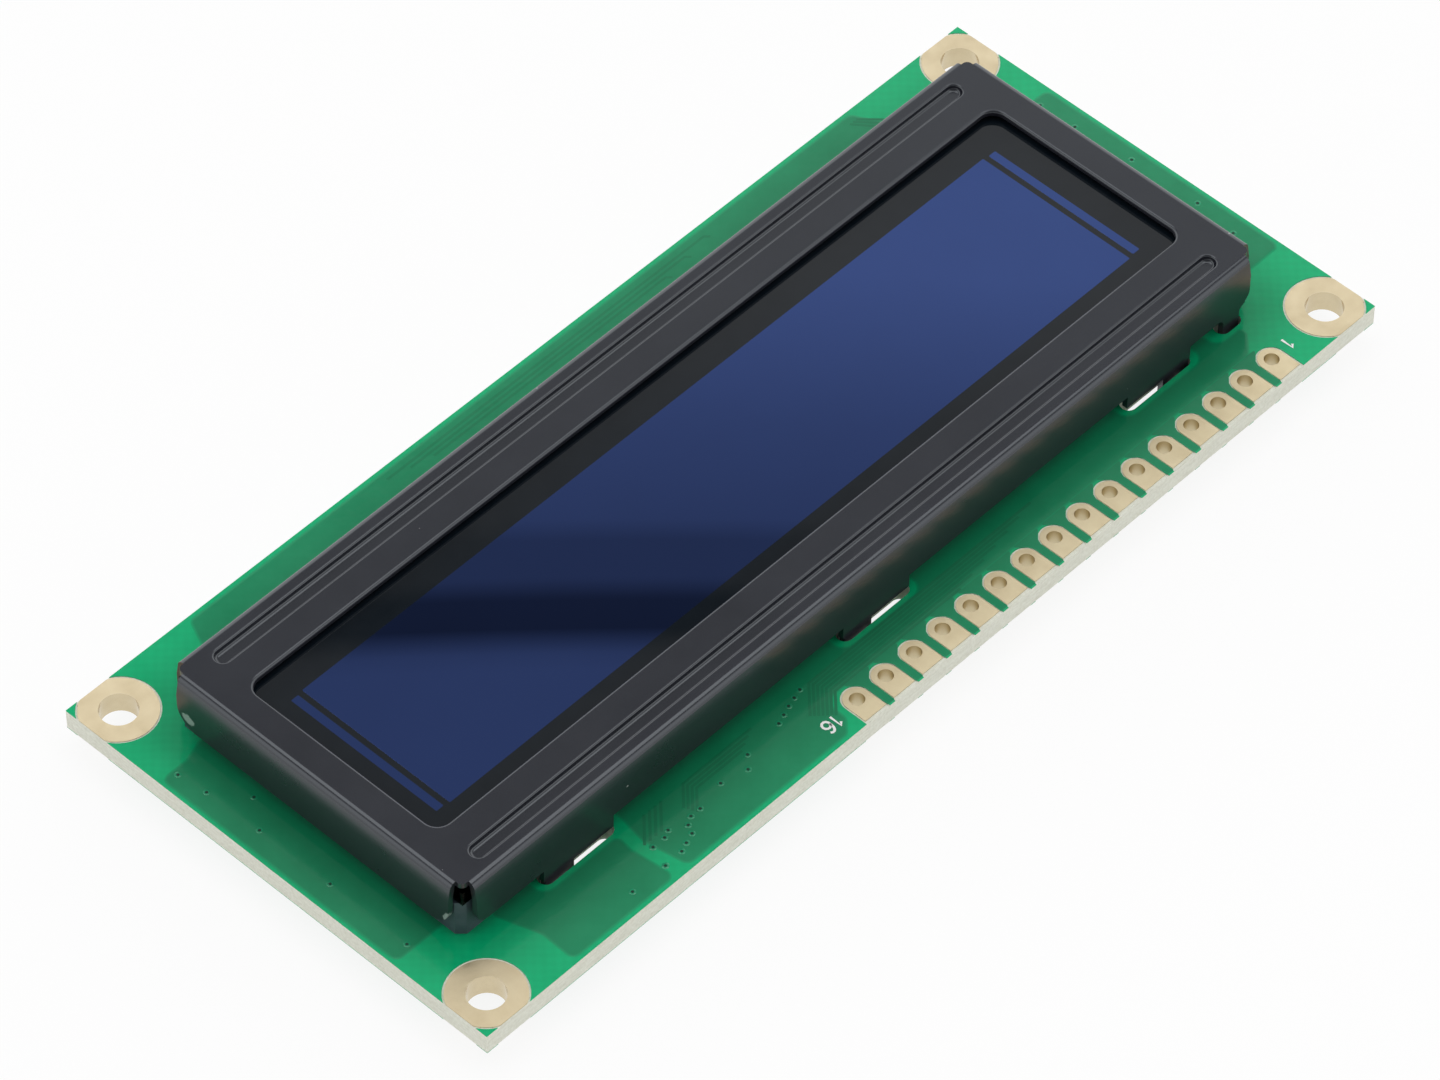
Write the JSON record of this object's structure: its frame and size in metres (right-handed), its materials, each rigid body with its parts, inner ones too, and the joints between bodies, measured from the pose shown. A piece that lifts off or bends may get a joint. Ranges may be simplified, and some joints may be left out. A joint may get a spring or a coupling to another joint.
{
  "type": "character display module",
  "caption": "Character OLED display module: a glass panel under a folded black bezel on a green circuit board with a header row along one edge and plated corner mounting holes.",
  "frame": {"origin": "centre of the mounting-hole pattern, on the board's rear face", "axes": "+X along the text lines to the right, +Y across the board to the header row, +Z out of the display"},
  "size_m": [0.0794, 0.0356, 0.0078],
  "materials": {
    "laminate": "matte",
    "mask_front": "gloss",
    "mask_rear": "gloss",
    "gold_rings": "satin",
    "gold_lands": "satin",
    "bezel_paint": "satin",
    "film": "gloss",
    "glass": "gloss",
    "emitter": "gloss",
    "seal": "matte",
    "cap_glass": "gloss",
    "dryer": "matte",
    "frame_plastic": "matte",
    "strip_upper": "matte",
    "strip_lower": "matte",
    "silicon": "satin",
    "moulding": "satin",
    "resistor_body": "satin",
    "capacitor_body": "satin",
    "tin_ends": "satin",
    "solder": "satin"
  },
  "bodies": {
    "root": {"laminate": "laminate", "solder_mask_front": "mask_front", "solder_mask_rear": "mask_rear", "mounting_hole_plating": "gold_rings", "header_hole_plating": "gold_lands", "bezel": "bezel_paint", "polarizer_film": "film", "substrate_glass": "glass", "emitter_layer": "emitter", "panel_seal": "seal", "rear_cap": "cap_glass", "drying_sheet": "dryer", "spacer_frame": "frame_plastic", "contact_strip_upper": "strip_upper", "contact_strip_lower": "strip_lower", "controller_die": "silicon", "moulding_drop": "moulding", "chip_resistors": "resistor_body", "chip_capacitors": "capacitor_body", "chip_ends": "tin_ends", "solder_joints": "solder"}
  },
  "joints": []
}
